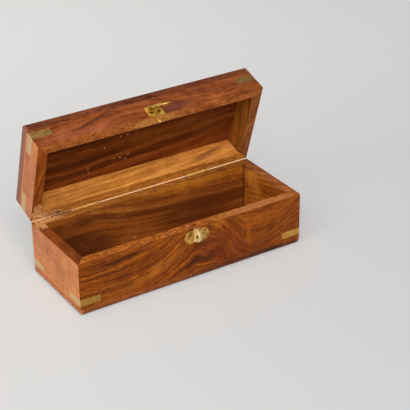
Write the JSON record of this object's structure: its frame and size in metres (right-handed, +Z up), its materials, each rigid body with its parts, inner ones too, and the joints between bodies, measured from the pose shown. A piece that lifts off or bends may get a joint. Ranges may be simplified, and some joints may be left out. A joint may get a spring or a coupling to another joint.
{
  "type": "telescope box",
  "caption": "Long narrow wooden case with mitred walls, flush brass corner straps, a hinged lid held open by its hinges, and a brass hasp and staple for a small padlock.",
  "frame": {"origin": "centre of the underside", "axes": "+X along the box, +Y towards its hinged back, +Z up; the lid stands 72 degrees open at rest"},
  "size_m": [0.254, 0.1385, 0.1703],
  "materials": {
    "wall_wood": "oiled, satin",
    "panel_wood": "oiled, satin",
    "strap_brass": "dull, aged",
    "latch_brass": "bright, polished",
    "hinge_brass": "bright, polished"
  },
  "bodies": {
    "base": {"base_back": "wall_wood", "base_bottom": "panel_wood", "base_front": "wall_wood", "base_left": "wall_wood", "base_right": "wall_wood", "base_strap_back_left": "strap_brass", "base_strap_back_right": "strap_brass", "base_strap_front_left": "strap_brass", "base_strap_front_right": "strap_brass", "base_strap_pins": "strap_brass", "hinge_base_screws": "hinge_brass", "hinge_left_base_leaf": "hinge_brass", "hinge_left_pin": "hinge_brass", "hinge_right_base_leaf": "hinge_brass", "hinge_right_pin": "hinge_brass", "staple_lug": "latch_brass", "staple_plate": "latch_brass", "staple_screws": "latch_brass"},
    "lid": {"hasp_pin": "latch_brass", "hasp_plate": "latch_brass", "hasp_screws": "latch_brass", "hinge_left_lid_leaf": "hinge_brass", "hinge_lid_screws": "hinge_brass", "hinge_right_lid_leaf": "hinge_brass", "lid_back": "wall_wood", "lid_front": "wall_wood", "lid_left": "wall_wood", "lid_right": "wall_wood", "lid_strap_back_left": "strap_brass", "lid_strap_back_right": "strap_brass", "lid_strap_front_left": "strap_brass", "lid_strap_front_right": "strap_brass", "lid_strap_pins": "strap_brass", "lid_top": "panel_wood", "locating_pin": "latch_brass"},
    "flap": {"hasp_flap": "latch_brass"}
  },
  "joints": [
    {"name": "lid_hinge", "type": "hinge", "parent": "base", "child": "lid", "pos_m": [0, 0.04895, 0.05715], "axis": [-1, 0, 0], "range_deg": [-72, 108]},
    {"name": "flap_hinge", "type": "hinge", "parent": "lid", "child": "flap", "pos_m": [0.0024, 0.02961, 0.15533], "axis": [-1, 0, 0], "range_deg": [-43, 129]}
  ]
}
